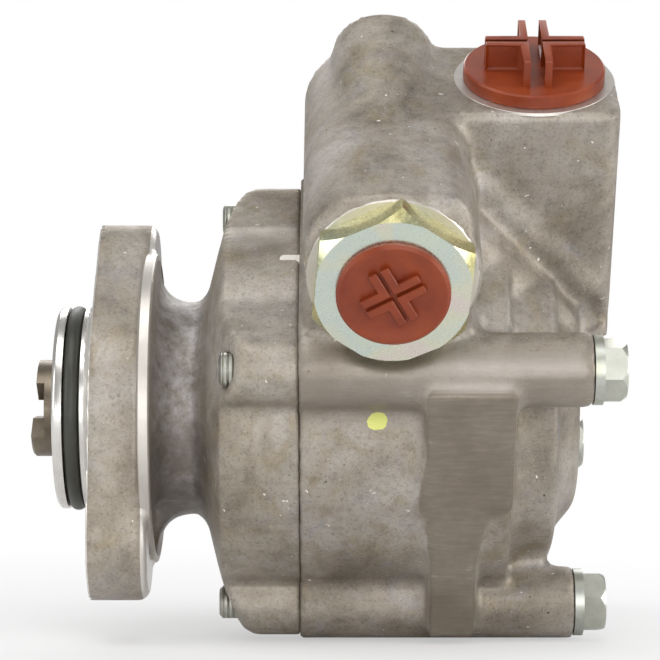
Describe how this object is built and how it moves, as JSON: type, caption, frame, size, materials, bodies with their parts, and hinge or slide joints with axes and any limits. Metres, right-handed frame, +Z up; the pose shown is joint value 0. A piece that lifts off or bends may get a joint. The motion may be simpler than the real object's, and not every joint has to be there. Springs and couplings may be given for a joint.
{
  "type": "power steering pump",
  "caption": "Vane pump for hydraulic power steering: flanged neck with claw drive, square-set bolted housing, inclined flow valve with hex pressure adapter, plugged suction tower.",
  "frame": {"origin": "on the shaft axis, in the mounting face of the flange", "axes": "+X along the shaft from the claw to the rear, +Y away from the side seen in the picture, +Z up"},
  "size_m": [0.1429, 0.1337, 0.1541],
  "materials": {
    "cast_aluminium": "as cast, blasted",
    "zinc_steel": "zinc plated",
    "seal_rubber": "oiled",
    "bearing_steel": "ground",
    "spring_steel": "oiled",
    "shaft_steel": "browned",
    "sintered_steel": "ground",
    "bronze": "plain",
    "yellow_zinc": "yellow passivated",
    "cage_polyamide": "plain",
    "plug_plastic": "moulded"
  },
  "bodies": {
    "housing": {"front_cover": "cast_aluminium", "main_housing": "cast_aluminium", "pilot_ring": "seal_rubber", "joint_ring": "seal_rubber", "shaft_seal": "seal_rubber", "bearing_clip": "spring_steel", "bearing_outer_ring": "bearing_steel", "front_bush": "bronze", "rear_bush": "bronze", "cam_ring": "sintered_steel", "front_plate": "sintered_steel", "rear_plate": "sintered_steel", "dowel_pin_1": "bearing_steel", "dowel_pin_2": "bearing_steel", "plate_spring": "spring_steel", "pressure_adapter": "yellow_zinc", "adapter_ring": "seal_rubber", "spool_spring": "spring_steel", "tie_bolt_1": "zinc_steel", "tie_bolt_2": "zinc_steel", "tie_bolt_3": "zinc_steel", "tie_bolt_4": "zinc_steel", "bolt_washer_1": "zinc_steel", "bolt_washer_2": "zinc_steel", "bolt_washer_3": "zinc_steel", "bolt_washer_4": "zinc_steel"},
    "shaft": {"drive_shaft": "shaft_steel", "rotor": "sintered_steel", "bearing_inner_ring": "bearing_steel", "shaft_clip": "spring_steel"},
    "ball_set": {"bearing_balls": "bearing_steel", "bearing_cage": "cage_polyamide"},
    "spool": {"valve_spool": "bearing_steel", "relief_retainer": "bearing_steel", "relief_spring": "spring_steel"},
    "poppet": {"relief_poppet": "bearing_steel"},
    "pressure_cap": {"pressure_plug": "plug_plastic"},
    "suction_cap": {"suction_plug": "plug_plastic"},
    "vane_01": {"vane_01": "sintered_steel"},
    "vane_02": {"vane_02": "sintered_steel"},
    "vane_03": {"vane_03": "sintered_steel"},
    "vane_04": {"vane_04": "sintered_steel"},
    "vane_05": {"vane_05": "sintered_steel"},
    "vane_06": {"vane_06": "sintered_steel"},
    "vane_07": {"vane_07": "sintered_steel"},
    "vane_08": {"vane_08": "sintered_steel"},
    "vane_09": {"vane_09": "sintered_steel"},
    "vane_10": {"vane_10": "sintered_steel"}
  },
  "joints": [
    {"name": "shaft_spin", "type": "hinge", "parent": "housing", "child": "shaft", "pos_m": [0, 0, 0], "axis": [1, 0, 0], "continuous": true},
    {"name": "ball_set_spin", "type": "hinge", "parent": "housing", "child": "ball_set", "pos_m": [0.0069, 0, 0], "axis": [1, 0, 0], "continuous": true},
    {"name": "spool_slide", "type": "slide", "parent": "housing", "child": "spool", "axis": [0, 0.8572, 0.515], "range_m": [0, 0.008], "stiffness_N_per_m": 2000, "springref_m": -0.004, "deforming": ["spool_spring"]},
    {"name": "relief_lift", "type": "slide", "parent": "spool", "child": "poppet", "axis": [0, 0.8572, 0.515], "range_m": [0, 0.0012], "stiffness_N_per_m": 3000, "springref_m": -0.002, "deforming": ["relief_spring"]},
    {"name": "pressure_cap_lift", "type": "slide", "parent": "housing", "child": "pressure_cap", "axis": [0, -0.8572, -0.515], "range_m": [0, 0.03]},
    {"name": "suction_cap_lift", "type": "slide", "parent": "housing", "child": "suction_cap", "axis": [0, -0.515, 0.8572], "range_m": [0, 0.03]},
    {"name": "vane_01_slide", "type": "slide", "parent": "shaft", "child": "vane_01", "axis": [0, 1, 0], "range_m": [-0.0024, 0]},
    {"name": "vane_02_slide", "type": "slide", "parent": "shaft", "child": "vane_02", "axis": [0, 0.809, 0.5878], "range_m": [-0.0024, 0.00074]},
    {"name": "vane_03_slide", "type": "slide", "parent": "shaft", "child": "vane_03", "axis": [0, 0.309, 0.9511], "range_m": [-0.0024, 0.00214]},
    {"name": "vane_04_slide", "type": "slide", "parent": "shaft", "child": "vane_04", "axis": [0, -0.309, 0.9511], "range_m": [-0.0024, 0.00214]},
    {"name": "vane_05_slide", "type": "slide", "parent": "shaft", "child": "vane_05", "axis": [0, -0.809, 0.5878], "range_m": [-0.0024, 0.00074]},
    {"name": "vane_06_slide", "type": "slide", "parent": "shaft", "child": "vane_06", "axis": [0, -1, 0], "range_m": [-0.0024, 0]},
    {"name": "vane_07_slide", "type": "slide", "parent": "shaft", "child": "vane_07", "axis": [0, -0.809, -0.5878], "range_m": [-0.0024, 0.00074]},
    {"name": "vane_08_slide", "type": "slide", "parent": "shaft", "child": "vane_08", "axis": [0, -0.309, -0.9511], "range_m": [-0.0024, 0.00214]},
    {"name": "vane_09_slide", "type": "slide", "parent": "shaft", "child": "vane_09", "axis": [0, 0.309, -0.9511], "range_m": [-0.0024, 0.00214]},
    {"name": "vane_10_slide", "type": "slide", "parent": "shaft", "child": "vane_10", "axis": [0, 0.809, -0.5878], "range_m": [-0.0024, 0.00074]}
  ],
  "couplings": [
    {"joint": "ball_set_spin", "follows": "shaft_spin", "ratio": 0.3968}
  ]
}
